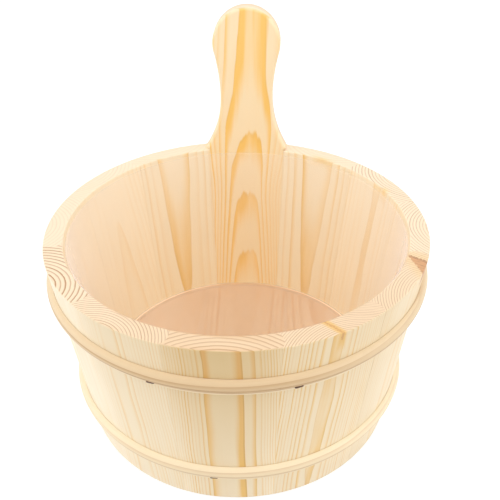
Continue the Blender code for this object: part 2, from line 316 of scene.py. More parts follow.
def withKnot(take, planes, knot, colour, amber):
    # an amber halo, then a ragged core that is streaked and darker towards its bark
    tint = take["Knot Tint"]
    halo = rest(stepUp(knot, *pine["haloRange"]))
    halo = times(halo, spread(tint, *pine["haloKnot"]))
    colour = mixColours(halo, colour, amber)
    rough = woodNoise(take["Grain"], "raggedScale", 3.0)
    ragged = plus(knot, swing(rough, spread(tint, *pine["raggedKnot"])))
    core = rest(stepUp(ragged, *pine["coreRange"]))
    core = times(core, spread(tint, *pine["coreKnot"]))
    drawn = feedNode("VectorMath", {0: take["Knot"], 1: pine["streakScale"]}, operation="MULTIPLY")
    streak = swing(noise(drawn), pine["streakSwing"])
    bark = plus(stepUp(planes[1], *pine["barkRange"]), streak)
    bark = times(bark, spread(tint, *pine["barkKnot"]))
    inside = mixColours(tint, take["Knot Brown"], take["Knot Resin"])
    inside = mixColours(bark, inside, take["Knot Dark"])
    return mixColours(core, colour, inside)


def pineRings():
    tree = bpy.data.node_groups.new("pineRings", "ShaderNodeTree")
    for way, sockets in (("INPUT", ringInputs), ("OUTPUT", ringOutputs)):
        for kind, labels in sockets.items():
            for label in labels:
                tree.interface.new_socket(label, in_out=way, socket_type="NodeSocket" + kind)
    take = tree.nodes.new("NodeGroupInput").outputs
    give = tree.nodes.new("NodeGroupOutput")
    tone = addNode(tree, "SeparateXYZ", {0: take["Tone"]}).outputs
    planes = addNode(tree, "SeparateXYZ", {0: take["Knot"]}).outputs
    knot = chain("MAXIMUM", planes[0], planes[1], planes[2])
    part, strength = ringYears(take, tone, knot)
    fall = rest(stepUp(part, take["Edge"], 1.0))
    late = times(stepUp(part, take["Onset"], take["Edge"]), fall)
    fibre = woodNoise(take["Fibres"], "fibreScale")
    # the tone's warmth is the wood's own, and also carries painted light and shade on the hoops, the handle's
    # back edges and the front staves
    amber = mixColours(tone[1], take["Amber"], take["Light Amber"])
    side = sideColour(take, tone[1], part, strength, late, fall, fibre, amber)
    end = endColour(take, tone[1], part, strength, fall)
    colour = mixColours(take["End"], side, end)
    colour = withKnot(take, planes, knot, colour, amber)
    rough = plus(swing(fibre, pine["fibreRoughness"]), pine["roughness"])
    rough = calc("SUBTRACT", rough, times(late, pine["lateGloss"]))
    rough = plus(rough, times(take["End"], pine["endRoughness"]))
    height = calc("SUBTRACT", fibre, times(late, pine["lateHollow"]))
    feed(give, {"Color": colour, "Roughness": rough, "Height": height})
    return tree


ringGroup = pineRings()
ringAttributes = {
    "Vector": {"Grain": "grain", "Fibres": "fibres", "Tone": "tone", "Knot": "knot"},
    "Fac": {"End": "endGrain", "Figure": "figure", "End Figure": "endFigure", "Knot Tint": "knotTint"},
}


def woodMaterial(name, values, bump):
    material, tree, shader = newMaterial(name)
    rings = addNode(tree, "Group", values, node_tree=ringGroup)
    for output, attributes in ringAttributes.items():
        for label, attribute in attributes.items():
            feed(rings, {label: readAttribute(tree, attribute, output)})
    colour, roughness, height = rings.outputs
    relief = feedNode("Bump", {"Height": height, "Strength": bump, "Distance": pine["bumpDepth"]})
    feed(shader, {"Base Color": colour, "Roughness": roughness, "Normal": relief})
    return material


pineColours = {
    "Pale": ink(219, 190, 138),
    "Warm Pale": ink(255, 240, 213),
    "Amber": ink(216, 167, 98),
    "Light Amber": ink(246, 204, 118),
    "End Pale": ink(232, 198, 158),
    "Light End": ink(249, 227, 197),
    "End Line": ink(186, 140, 98),
    "Side Line": ink(198, 150, 78),
    "Knot Brown": ink(208, 152, 106),
    "Knot Dark": ink(154, 100, 64),
    "Knot Resin": ink(208, 148, 92),
    "Contrast": 0.95,
    "Weakest": 0.25,
    "Line": 0.4,
    "Onset": 0.4,
    "Edge": 0.95,
    "Wander": 0.2,
    "Jag": 0.16,
}
handleColours = {
    **pineColours,
    "Pale": ink(206, 168, 122),
    "Warm Pale": ink(253, 230, 191),
    "Amber": ink(252, 204, 114),
    "Light Amber": ink(252, 204, 114),
    "Contrast": 1.05,
    "Weakest": 0.4,
    "Line": 0.3,
    "Onset": 0.34,
    "Edge": 0.91,
    "Wander": 0.12,
    "Jag": 0.26,
}
boardColours = {**pineColours, "Pale": ink(236, 213, 172), "Light Amber": ink(224, 180, 118)}
# on the hoops the tone paints light, so Pale and Amber are the shaded colours and Warm Pale and Light Amber
# the lit ones
hoopColours = {
    **pineColours,
    "Pale": ink(203, 165, 114),
    "Warm Pale": ink(252, 234, 200),
    "Amber": ink(166, 120, 72),
    "Side Line": ink(186, 140, 98),
    "Light Amber": ink(216, 174, 120),
    "Contrast": 1.2,
    "Weakest": 0.4,
    "Line": 1.0,
}
stavePine = woodMaterial("stavePine", pineColours, bump=0.05)
handlePine = woodMaterial("handlePine", handleColours, bump=0.1)
boardPine = woodMaterial("boardPine", boardColours, bump=0.15)
hoopWood = woodMaterial("hoopWood", hoopColours, bump=0.1)
print("wood materials made")

farFromKnots = 40.0


def addGrain(piece, grain, tone, ends, figure=1.0, endFigure=0.8, knot=farFromKnots, knotTint=0.0,
             fibres=None):
    vectors = {"grain": grain, "fibres": grain if fibres is None else fibres, "tone": tone, "knot": knot}
    values = {"endGrain": ends, "figure": figure, "endFigure": endFigure, "knotTint": knotTint}
    for label, layer in vectors.items():
        addVectors(piece, label, np.broadcast_to(layer, grain.shape))
    for label, layer in values.items():
        addValues(piece, label, np.broadcast_to(layer, grain.shape[:-1]))


# Staves

stave = {
    "arcSteps": 36,
    "sideSteps": 15,
    "wallSteps": 10,
    "roundSteps": 6,
    "beadHeight": 0.0022,
    "jointGap": 0.00002,
    "edgeEase": 0.0001,
    "rimRound": 0.0007,
    "footRound": 0.0008,
    "grooveLow": 0.0037,
    "grooveHigh": 0.0133,
    "grooveDepth": 0.004,
    "wallStart": 0.004,
    "wallEnd": 0.001,
    "swayAcross": (0.4, 19.0, 1.9),
    "swayOut": (0.1, 23.0, 0.7),
    "apart": 400.0,
    "crowdRun": 2.0,
}

# Each stave was sawn from its own place in a tree. Millimetres: the heart's place across and out from the
# outside face, how it drifts along the stave, the ring gap, and a place across and out where a ring ends.
# Figure is how strong the rings show at the stave's two edges, rim on its sawn end, warm its colour at the
# foot and the rim and how much more at its two edges, and first the year its rings are counted from. On the
# front staves the fall of warm from foot to rim is partly the wood's own tone and partly painted light and
# shade: paler at the foot from the floor's light, and darker towards the rim and on its sawn end.
# Crowd, where rings are narrow near the edges, is the places left and right of the heart where that
# begins, how much narrower they are, and how much fainter. What a stave leaves out is in plainStave.
plainStave = {"drift": (0, 0), "warm": (1.0, 1.0, 0.0, 0.0), "crowd": (0, 0, 0, 0)}
staveGrain = {
    1: {"heart": (1, 27.5), "drift": (0, -0.0235), "gap": 3.4, "edge": (9, -12),
        "figure": (0.8, 0.85), "rim": 0.15, "warm": (0.92, 0.92, 0.0, 0.0), "first": 267},
    2: {"heart": (-4, 24), "drift": (0.06, 0.02), "gap": 2.6, "edge": (6, -12),
        "figure": (0.4, 0.1), "rim": 0.25, "first": 23},
    3: {"heart": (9, 22), "drift": (0.02, -0.02), "gap": 2.4, "edge": (9, -12),
        "figure": (0.15, 0.15), "rim": 0.25, "first": 40},
    4: {"heart": (4, 14), "drift": (0.03, 0.01), "gap": 2.7, "edge": (8, 0),
        "figure": (0.3, 0.2), "rim": 1.4, "warm": (1.0, 0.9, 0.0, 0.0), "first": 11},
    5: {"heart": (0, 16), "drift": (-0.01, 0), "gap": 1.7, "edge": (9, 0),
        "figure": (0.2, 0.7), "rim": 0.95, "warm": (0.9, 0.55, 0.4, 0.0), "first": 67},
    6: {"heart": (1.2, 38), "drift": (-0.009, 0), "gap": 2.8, "edge": (11.3, 0),
        "figure": (1.9, 1.9), "rim": 0.8, "warm": (0.75, 0.0, 0.35, 0.35), "first": 189,
        "crowd": (10.2, 19.3, 2.2, 0.4)},
    7: {"heart": (-6.75, 28), "drift": (0.05, 0), "gap": 1.4, "edge": (1.4, 0),
        "figure": (1.1, 0.7), "rim": 0.9, "warm": (0.8, 0.48, 0.0, 0.05), "first": 64},
    8: {"heart": (-3, 30), "drift": (0.02, 0), "gap": 1.5, "edge": (4, 0),
        "figure": (0.6, 0.4), "rim": 0.85, "warm": (0.85, 0.66, -0.2, 0.1), "first": 5},
    9: {"heart": (-5, 20), "drift": (0.03, 0.02), "gap": 2.0, "edge": (5, -12),
        "figure": (0.25, 0.3), "rim": 0.8, "first": 33},
    10: {"heart": (-0.5, 25), "gap": 2.3, "edge": (3.2, -12),
         "figure": (0.5, 0.4), "rim": 0.85, "first": 27},
    11: {"heart": (0.5, 27.5), "drift": (0, -0.021), "gap": 3.4, "edge": (8.7, -12),
         "figure": (0.9, 1.0), "rim": 0.2, "warm": (0.92, 0.92, 0.0, 0.0), "first": 97},
}

# A knot at a stave's rim lies inside three planes. Each is a sum of the places across, out and along in
# millimetres and a number; it grows outwards and is one on the knot's edge. Tint is 1 for resin.
staveKnots = {
    7: {"planes": ((0.7, -0.233, 0, -0.78), (-0.7, 0.233, 0, 1.78), (0, 0, -0.19, 25.5)), "tint": 1.0},
    8: {"planes": ((-0.195, -0.175, 0, 3.12), (0.185, 0.013, 0, -3.55), (0, 0, -0.11, 14.7)), "tint": 0.0},
    10: {"planes": ((0.25, 0, 0, 3.82), (-0.25, 0, 0, -0.42), (0, 0.3, -0.1, 18.6)), "tint": 1.0},
    11: {"planes": ((0.1, 0, 0, 2.03), (-0.1, 0, 0, 1.37), (0, 0.3, -0.15, 25.2)), "tint": 1.0},
}


def sway(along, number, size, length, shift):
    # slow swing along the grain: two waves of unlike length, shifted from stave to stave
    start = shift * number
    return size * (np.sin(along / length + start) + 0.5 * np.sin(2.7 * along / length + 2.3 * start))


def heartAt(wood, along):
    # the heart's place across and out: where it starts, plus its drift times the way along the stave
    return [start + drift * along for start, drift in zip(wood["heart"], wood["drift"])]


def ringEdge(wood):
    # distance from the heart to the ring's end on the curved face, halfway up the stave
    across, out = wood["edge"]
    radius = (bucket["rimRadius"] + bucket["baseRadius"]) / 2 * mm + out
    heartAcross, heartOut = heartAt(wood, bucket["height"] / 2 * mm)
    return math.hypot(across - heartAcross, out - across ** 2 / (2 * radius) - heartOut)


def jointBulge(across):
    # height of a round bead over its chord, at a distance from the middle of the wall
    rise = stave["beadHeight"]
    radius = (bucket["wall"] ** 2 / 4 + rise ** 2) / (2 * rise)
    return np.sqrt(radius ** 2 - across ** 2) - (radius - rise)


def staveHeights(rounded):
    # heights up the stave, how far its outside and inside are drawn in there, and how much end grain shows
    turn = np.linspace(0, math.pi / 2, stave["roundSteps"] + 1)
    foot = stave["footRound"]
    rim = stave["rimRound"]
    low = stave["grooveLow"]
    high = stave["grooveHigh"]
    top = bucket["height"] - rim
    wallRows = np.linspace(high + stave["wallStart"], top - stave["wallEnd"], stave["wallSteps"])
    plain = np.zeros(4)
    topZ = top + rim * np.sin(turn) if rounded else np.array([bucket["height"]])
    topIn = rim * (1 - np.cos(turn)) if rounded else np.zeros(1)
    topEnd = np.sin(turn) ** 3 if rounded else np.zeros(1)
    footIn = foot * (1 - np.cos(turn[::-1]))
    groove = np.array([0.0, 1.0, 1.0, 0.0]) * stave["grooveDepth"]
    heights = np.concatenate([foot * (1 - np.sin(turn[::-1])), [low, low, high, high], wallRows, topZ])
    outerIn = np.concatenate([footIn, plain, wallRows * 0, topIn])
    innerIn = np.concatenate([footIn, groove, wallRows * 0, topIn])
    ends = np.concatenate([np.sin(turn[::-1]) ** 3, plain, wallRows * 0, topEnd])
    return heights, outerIn, innerIn, ends


def staveRows(centre, heights, outerIn, innerIn):
    # one closed row at each height: outside arc, bead edge, inside arc, cove edge
    z = heights[:, None]
    outer = outerRadius(z) - outerIn[:, None]
    inner = outerRadius(z) - bucket["wall"] + innerIn[:, None]
    ease = stave["edgeEase"]
    across = np.linspace(-1, 1, stave["arcSteps"] + 1)
    outerFace = polarPoints(centre + across * (halfPitch - ease / outer), outer, 0.0, z)
    innerFace = polarPoints(centre - across * (halfPitch - ease / inner), inner, 0.0, z)
    share = np.linspace(0, 1, stave["sideSteps"] + 1)
    radii = outer - ease + (inner - outer + 2 * ease) * share
    bulge = jointBulge(radii - outerRadius(z) + bucket["wall"] / 2)
    gap = stave["jointGap"] / 2
    bead = polarPoints(centre + halfPitch, radii, bulge - gap, z)
    cove = polarPoints(centre - halfPitch, radii, bulge + gap, z)[:, ::-1]
    return np.concatenate([outerFace, bead, innerFace, cove], axis=1)


def makeStave(number):
    centre = backAngle + 2 * halfPitch * number
    wood = {**plainStave, **staveGrain[number]}
    heights, outerIn, innerIn, ends = staveHeights(True)
    grid = staveRows(centre, heights, outerIn, innerIn)
    name = f"stave_{number:02d}"
    piece = addPiece(f"coopered_{name}", grid, stavePine, "bucket", "pine", name)
    sideways, out, along = boardCoordinates(grid, centre)
    heartAcross, heartOut = heartAt(wood, along)
    across = sideways - heartAcross + sway(along, number, *stave["swayAcross"])
    depth = out - heartOut + sway(along, number, *stave["swayOut"])
    crowdLeft, crowdRight, crowdRate, crowdFaint = wood["crowd"]
    ring = np.hypot(across, depth)
    past = np.maximum(ring - np.hypot(np.where(across < 0, crowdLeft, crowdRight), depth), 0)
    past = past * (1 - ends[:, None])  # not on the sawn ends
    narrow = 1 + crowdRate * past / ring
    place = along + stave["apart"] * number  # no two staves share a piece of the noise
    grain = sideBySide(across * narrow, depth * narrow, place) / wood["gap"]
    # on the front staves the change from foot to rim is partly painted light and shade
    foot, rim, left, right = wood["warm"]
    halfWidth = halfStave * mm
    sides = np.where(sideways < 0, left, right) * (sideways / halfWidth) ** 2
    warm = foot + (rim - foot) * along / (mm * bucket["height"]) + sides
    tone = sideBySide(-ringEdge(wood) / wood["gap"] % 1, warm, wood["first"])
    knot = farFromKnots
    tint = 0.0
    if number in staveKnots:
        planes = np.array(staveKnots[number]["planes"])
        knot = sideBySide(sideways, out, along) @ planes[:, :3].T + planes[:, 3]
        tint = staveKnots[number]["tint"]
    low, high = wood["figure"]
    figure = low + (high - low) * (sideways / halfWidth + 1) / 2
    figure = figure * (1 - crowdFaint * np.minimum(past / stave["crowdRun"], 1))
    addGrain(piece, grain, tone, ends[:, None], figure, wood["rim"], knot, tint)


for number in staveGrain:
    makeStave(number)
print("staves made:", len(staveGrain))


# Handle stave

handle = {
    "waistRise": 0.0386,
    "neckLength": 0.039,
    "headRadius": 0.0242,
    "waistCut": 0.0051,
    "edgeRound": 0.0022,
    # painted shade: how much darker the edge is where it turns to the back
    "paintedEdgeShade": 0.6,
    "flareSteps": 26,
    "neckSteps": 22,
    "headSteps": 44,
}
# Flame of the handle's inside face, in millimetres. Its tip is a ring edge at a height, with the heart that
# deep; below the tip rings follow each other by the taper, and above it the last ring closes slowly.
flame = {
    "gap": 2.72,
    "tipHeight": 150.0,
    "tipDepth": 40.0,
    "taper": 0.0533,
    "closing": 0.65,
    "closingRun": 28.0,
    "closingPower": 1.3,
    "bendHeight": 100.0,
    "axis": 0.9,
    "axisTurn": -0.046,
    "lowWidth": 12.8,
    "tipWidth": 17.5,
    "skew": 2.5,
    "blunt": 2.3,
    "bluntHeight": 124.0,
    "bluntRun": 8.0,
    "steep": 1.5,
    "turnOver": 4.0,
    "edgeFigure": 0.35,
    "endFigure": 0.3,
    "first": 298,
}


def handleOutline():
    # half width, height and outward direction of the edge: hollow flare, hollow neck, round head
    waist = handle["headRadius"] - handle["waistCut"]
    waistZ = bucket["height"] + handle["waistRise"]
    headZ = waistZ + handle["neckLength"]
    spreadOut = halfStave - waist
    flareRadius = (spreadOut ** 2 + handle["waistRise"] ** 2) / (2 * spreadOut)
    neckSum = handle["neckLength"] ** 2 + waist ** 2 - handle["headRadius"] ** 2
    neckRadius = neckSum / (2 * handle["waistCut"])
    neckTurn = math.asin(handle["neckLength"] / (neckRadius + handle["headRadius"]))
    first = math.asin((handle["waistRise"] - handle["edgeRound"]) / flareRadius)
    flareTurn = first * np.linspace(1, 0, handle["flareSteps"] + 1)
    neck = neckTurn * np.linspace(0, 1, handle["neckSteps"] + 1)[1:]
    headStep = (math.pi / 2 + neckTurn) / (handle["headSteps"] + 0.5)
    head = headStep * np.arange(1, handle["headSteps"] + 1) - neckTurn
    widths = [waist + flareRadius * (1 - np.cos(flareTurn)), waist + neckRadius * (1 - np.cos(neck)),
              handle["headRadius"] * np.cos(head)]
    heights = [waistZ - flareRadius * np.sin(flareTurn), waistZ + neckRadius * np.sin(neck),
               headZ + handle["headRadius"] * np.sin(head)]
    normalOut = [np.cos(flareTurn), np.cos(neck), np.cos(head)]
    normalUp = [np.sin(flareTurn), -np.sin(neck), np.sin(head)]
    return [np.concatenate(parts)[:, None] for parts in (widths, heights, normalOut, normalUp)]


def handlePoints(sideways, z, off):
    # off the middle of the curved wall, sawn square to its chord
    radius = outerRadius(z) - bucket["wall"] / 2 + off
    return polarPoints(backAngle, np.sqrt(radius ** 2 - sideways ** 2), sideways, z)


def wholeRows(count, onFace, onSide):
    # one value on the two faces, and others along the bead edge and back along the cove edge
    faces = np.full((count, stave["arcSteps"] + 1), onFace)
    sides = np.broadcast_to(onSide, (count, onSide.shape[-1]))
    return np.concatenate([faces, sides, faces, sides[:, ::-1]], axis=1)


def handleRows():
    # rows across the handle: two curved faces, with edges rounded over along the outline
    width, height, normalOut, normalUp = handleOutline()
    half = bucket["wall"] / 2
    edge = handle["edgeRound"]
    count = (stave["sideSteps"] + 1) // 2
    quarter = np.linspace(math.pi / 4 / count, math.pi / 2, count)
    turns = np.concatenate([quarter, quarter[::-1]])
    face = np.repeat([1.0, -1.0], count)
    inset = edge * (1 - np.sin(turns))
    off = face * (half - edge * (1 - np.cos(turns)))
    sideways = width - inset * normalOut
    z = height - inset * normalUp
    across = np.linspace(-1, 1, stave["arcSteps"] + 1)
    faceZ = height - edge * normalUp
    faceWidth = across * (width - edge * normalOut)
    bead = handlePoints(sideways, z, off)
    cove = handlePoints(-sideways, z, off)[:, ::-1]
    outerFace = handlePoints(faceWidth, faceZ, half)
    innerFace = handlePoints(-faceWidth, faceZ, -half)
    # end grain shows on the edge where the outline turns up or down, and rings show less on it, partly for
    # the end grain and partly as a painted sheen; where it is turned to the back it is darker, a painted
    # shade
    onEdge = np.sin(turns)
    ends = wholeRows(len(width), 0.0, np.abs(normalUp) ** 3 * onEdge ** 6)
    figure = wholeRows(len(width), 1.0, 1 - (1 - flame["edgeFigure"]) * onEdge ** 3)
    warm = wholeRows(len(width), 1.0, 1 - handle["paintedEdgeShade"] * (face > 0) * onEdge)
    return np.concatenate([outerFace, bead, innerFace, cove], axis=1), ends, figure, warm


def handleTop(first):
    # faces that close the last row over the head's crown
    faceCount = stave["arcSteps"] + 1
    sideCount = stave["sideSteps"] + 1
    outerFace = first + np.arange(faceCount)
    bead = first + faceCount + np.arange(sideCount)
    innerFace = bead[-1] + 1 + np.arange(faceCount)
    cove = (innerFace[-1] + 1 + np.arange(sideCount))[::-1]
    strip = np.stack([bead[:-1], bead[1:], cove[1:], cove[:-1]], axis=-1).tolist()
    outerCap = [*outerFace.tolist(), int(bead[0]), int(cove[0])]
    innerCap = [int(bead[-1]), *innerFace.tolist(), int(cove[-1])]
    return strip + [outerCap, innerCap]


def flameDepth(along):
    # depth of the tree's heart behind the inside face: steady taper below the tip, closing ring above it
    below = np.minimum(along - flame["tipHeight"], 0)
    above = np.maximum(along - flame["tipHeight"], 0)
    closed = flame["closing"] * (1 - np.exp(-(above / flame["closingRun"]) ** flame["closingPower"]))
    return flame["tipDepth"] + flame["taper"] * below + flame["gap"] * closed


def flameAcross(sideways, along):
    # distance from the flame's middle line, counted so that one ring is as wide as the flame; its peak is
    # off to one side, rings below the tip are blunt, and all crowd towards the edges
    middle = flame["axis"] + flame["axisTurn"] * np.maximum(along - flame["bendHeight"], 0)
    rise = np.clip((along - flame["bendHeight"]) / (flame["tipHeight"] - flame["bendHeight"]), 0, 1)
    width = flame["lowWidth"] + (flame["tipWidth"] - flame["lowWidth"]) * rise
    aside = sideways - middle
    skew = flame["skew"] * np.clip(1 - (along - flame["tipHeight"]) / flame["closingRun"], 0, 1)
    aside = aside + skew * np.maximum(1 - (aside / width) ** 2, 0)
    off = np.abs(aside) / width
    blunt = 1 + (flame["blunt"] - 1) / (1 + np.exp((along - flame["bluntHeight"]) / flame["bluntRun"]))
    off = np.where(off < 1, off ** blunt, 1 + (off - 1) * flame["steep"])
    ringWidth = math.sqrt(flame["gap"] * (2 * flame["tipDepth"] + flame["gap"]))
    return np.sign(aside) * off * ringWidth


def insideDepth(points):
    # millimetres into the wood from the curved inside face, slow to begin so that rings turn over the edges
    radius = np.hypot(points[..., 0], points[..., 1] - axisY)
    into = np.maximum(radius - outerRadius(points[..., 2]) + bucket["wall"], 0)
    into = into * mm * leanCos
    return into ** 2 / (into + flame["turnOver"])


heights, outerIn, innerIn, footEnds = staveHeights(False)
lowerGrid = staveRows(backAngle, heights, outerIn, innerIn)
upperGrid, upperEnds, upperFigure, upperWarmWithShade = handleRows()
handleGrid = np.concatenate([lowerGrid, upperGrid])
rows, columns = handleGrid.shape[:2]
plain = np.ones(lowerGrid.shape[:2])
faces = gridQuads(rows, columns) + [list(range(columns))] + handleTop((rows - 1) * columns)
handlePiece = addPiece("handle_long_stave", handleGrid, handlePine, "bucket", "handle_pine", "handle_stave",
                       faces=faces)
sideways, out, along = boardCoordinates(handleGrid, backAngle)
depth = flameDepth(along) - insideDepth(handleGrid)
grain = sideBySide(flameAcross(sideways, along), depth, along) / flame["gap"]
fibres = sideBySide(sideways, out, along) / flame["gap"]
# the upper rows carry the painted shade on the handle's back edges
warm = np.concatenate([plain, upperWarmWithShade])
tone = sideBySide(-flame["tipDepth"] / flame["gap"] % 1, warm, flame["first"])
ends = np.concatenate([plain * footEnds[:, None], upperEnds])
figure = np.concatenate([plain, upperFigure])
addGrain(handlePiece, grain, tone, ends, figure, flame["endFigure"], fibres=fibres)
print("handle stave made")


# Bottom boards

boards = {
    "count": 3,
    "low": 0.004,
    "thickness": 0.009,
    "radius": 0.0983,
    "gap": 0.0002,
    "edgeRound": 0.0006,
    "steps": 48,
    "roundSteps": 4,
    "chordShare": 0.9995,
    "heartDepth": 46.0,
    "heartTilt": 0.03,
    "heartApart": 7.0,
    "ringGap": 2.8,
    "apart": 500.0,
    "sideTurn": 0.9,
    "endShare": 0.5,
    "tones": ((0.0, 0.5, 200), (0.3, 0.5, 210), (0.6, 0.5, 220)),
}


def makeBoard(index):
    # plank across X; its length at each place is the chord of the round bottom
    radius = boards["radius"]
    plank = 2 * radius / boards["count"]
    reach = radius * boards["chordShare"]
    low = max(-reach, -radius + plank * index + boards["gap"] / 2)
    high = min(reach, -radius + plank * (index + 1) - boards["gap"] / 2)
    swept = np.linspace(math.acos(-low / radius), math.acos(-high / radius), boards["steps"] + 1)
    x = -radius * np.cos(swept)
    chord = np.sqrt(radius ** 2 - x ** 2)[:, None]
    edge = boards["edgeRound"]
    # corners of the plank's section, rounded: along Y and up
    quarter = np.linspace(0, math.pi / 2, boards["roundSteps"] + 1)
    turns = np.concatenate([quarter + k * math.pi / 2 for k in range(4)])
    signY = np.repeat([1.0, -1.0, -1.0, 1.0], boards["roundSteps"] + 1)
    signZ = np.repeat([1.0, 1.0, -1.0, -1.0], boards["roundSteps"] + 1)
    half = boards["thickness"] / 2
    y = signY * (chord - edge) + edge * np.cos(turns) + axisY
    z = boards["low"] + half + signZ * (half - edge) + edge * np.sin(turns)
    grid = sideBySide(x[:, None], y, z)
    node = f"bottom_board_{index + 1}"
    piece = addPiece(f"planed_{node}", grid, boardPine, "bucket", "board_pine", node)
    placeX, placeY, placeZ = [grid[..., axis] * mm for axis in range(3)]
    across = placeX - (low + high) / 2 * mm + boards["heartApart"] * (index - 1)
    depth = placeZ - boards["heartDepth"] + boards["heartTilt"] * placeY
    grain = sideBySide(across, depth, placeY + boards["apart"] * index) / boards["ringGap"]
    ends = np.abs(np.cos(turns)) * (np.abs(np.sin(turns)) < boards["sideTurn"]) * boards["endShare"]
    addGrain(piece, grain, boards["tones"][index], ends)


for index in range(boards["count"]):
    makeBoard(index)
print("bottom boards made:", boards["count"])


# Hoops

hoop = {
    "upper_hoop": 0.1068,
    "lower_hoop": 0.0277,
    "width": 0.0114,
    "thickness": 0.0042,
    "lipWidth": 0.0026,
    "lipThickness": 0.0012,
    "topEdge": 0.0006,
    "back": 0.0001,
    "mitre": 0.008,
    "mitreGap": 0.0002,
    "edgeRound": 0.0003,
    "arcSteps": 22,
    "steps": 288,
    "heartUp": 14.0,
    "heartIn": 6.0,
    "ringGap": 1.9,
    "fullness": 1.15,
    "slantShare": 0.025,
    "swayUp": (0.7, 140.0),
    "swayOut": (0.4, 95.0),
    "swayShift": 40.0,
    "apart": 9000.0,
    "phase": 0.2,
    # painted light: how much paler the round face is at the bucket's two sides
    "paintedSideLight": 0.35,
    "lipFigure": 0.3,
    "lowFigure": 1.4,
    "lostFigure": 0.9,
    # painted light: the round face's tone at its foot and at its top, on each hoop
    "paintedTopLight": {"upper_hoop": (0.0, 0.42), "lower_hoop": (0.4, 0.9)},
}


def hoopProfile():
    # up along the staves and out from them: flat back, flat lip, half-round face, thin top edge
    low = -hoop["width"] / 2
    half = (hoop["width"] - hoop["lipWidth"]) / 2
    middle = low + hoop["lipWidth"] + half
    first = math.asin(hoop["lipThickness"] / hoop["thickness"])
    last = math.pi - math.asin(hoop["topEdge"] / hoop["thickness"])
    turn = np.linspace(first, last, hoop["arcSteps"] + 1)
    edge = hoop["edgeRound"]
    back = hoop["back"]
    lip = back + hoop["lipThickness"]
    arcUp = middle - half * np.cos(turn)
    arcOut = back + hoop["thickness"] * np.sin(turn) ** hoop["fullness"]
    up = np.concatenate([[low + edge, low, low, low + edge], arcUp, [arcUp[-1] + edge / 2, arcUp[-1]]])
    out = np.concatenate([[back, back + edge, lip - edge, lip], arcOut, [arcOut[-1] / 2 + back / 2, back]])
    return up, out


def makeHoop(node, height):
    # the strip's profile carried once round the staves, its ends cut slanting and butted at the back
    up, out = hoopProfile()
    share = np.linspace(0, 1, hoop["steps"] + 1)[:, None]
    radius = outerRadius(height)
    slant = hoop["mitre"] * up / hoop["width"] / radius
    gap = hoop["mitreGap"] / radius
    # the slant belongs to the two ends only
    nearEnd = np.clip(1 - np.minimum(share, 1 - share) / hoop["slantShare"], 0, 1)
    angle = backAngle + gap / 2 + share * (2 * math.pi - gap) + slant * nearEnd
    grid = conePoints(angle, height, up, out)
    piece = addPiece(f"bent_{node}", grid, hoopWood, "bucket", "hoop_wood", node)
    along = (angle - backAngle) * radius * mm
    upSize, upLength = hoop["swayUp"]
    outSize, outLength = hoop["swayOut"]
    shift = height * hoop["swayShift"]
    across = up * mm + hoop["heartUp"] + upSize * np.sin(along / upLength)
    depth = out * mm + hoop["heartIn"] + outSize * np.sin(along / outLength + shift)
    grain = sideBySide(across, depth, along + height * hoop["apart"]) / hoop["ringGap"]
    ends = np.zeros((hoop["steps"] + 1, 1))
    ends[[0, -1]] = 1.0
    # the lip is pale; the round face is plainer towards its top, and paler towards its top and at the
    # bucket's two sides, which is painted light
    upShare = up / hoop["width"] + 0.5
    onLip = upShare < hoop["lipWidth"] / hoop["width"]
    low, high = hoop["paintedTopLight"][node]
    pale = low + (high - low) * upShare + hoop["paintedSideLight"] * np.cos(angle) ** 2
    tone = sideBySide(hoop["phase"], np.where(onLip, 1.0, pale), round(height * mm))
    figure = np.where(onLip, hoop["lipFigure"], hoop["lowFigure"] - hoop["lostFigure"] * upShare)
    addGrain(piece, grain, tone, ends, figure)


for node in ("upper_hoop", "lower_hoop"):
    makeHoop(node, hoop[node])
print("hoops made")


# Staples

staples = {
    "upper_hoop": (-19.3, 19.9, 117.0, 172.0, -172.0, -117.0),
    "lower_hoop": (-52.3, -4.2, 49.5, 112.0, 172.0, -172.0, -112.0),
    "crown": 0.0052,
    "wire": 0.0007,
    "wireWidth": 0.0011,
    "bend": 0.0006,
    "bite": 0.003,
    "proud": 0.0005,
    "tilt": math.radians(6),
    "squareness": 5,
    "bendSteps": 6,
    "sectionSteps": 16,
    "tarnishScale": (900.0, 900.0),
    "tarnishDetail": 4.0,
    "colours": (ink(70, 46, 34), ink(118, 84, 64)),
    "roughness": (0.35, 0.6),
    "metallic": 0.25,
}


def steelMaterial():
    material, tree, shader = newMaterial("stapleSteel")
    place = addNode(tree, "TexCoord").outputs["Object"]
    tarnish = noise(stretched(place, *staples["tarnishScale"]), staples["tarnishDetail"])
    colour = mixColours(tarnish, *staples["colours"])
    roughness = spread(tarnish, *staples["roughness"])
    feed(shader, {"Base Color": colour, "Roughness": roughness, "Metallic": staples["metallic"]})
    return material


stapleSteel = steelMaterial()


def staplePath():
    # across and out: up one leg, round a bend, over the crown, round a bend and down the other leg
    half = (staples["crown"] - staples["wire"]) / 2
    bend = staples["bend"]
    top = hoop["back"] + hoop["lipThickness"] + staples["proud"] - staples["wire"] / 2
    turn = np.linspace(0, math.pi / 2, staples["bendSteps"] + 1)
    leftX = -half + bend - bend * np.cos(turn)
    leftZ = top - bend + bend * np.sin(turn)
    x = np.concatenate([[-half], leftX, -leftX[::-1], [half]])
    z = np.concatenate([[-staples["bite"]], leftZ, leftZ[::-1], [-staples["bite"]]])
    headingX = np.concatenate([[0.0], np.sin(turn), np.sin(turn[::-1]), [0.0]])
    headingZ = np.concatenate([[1.0], np.cos(turn), -np.cos(turn[::-1]), [-1.0]])
    return x, z, headingX, headingZ


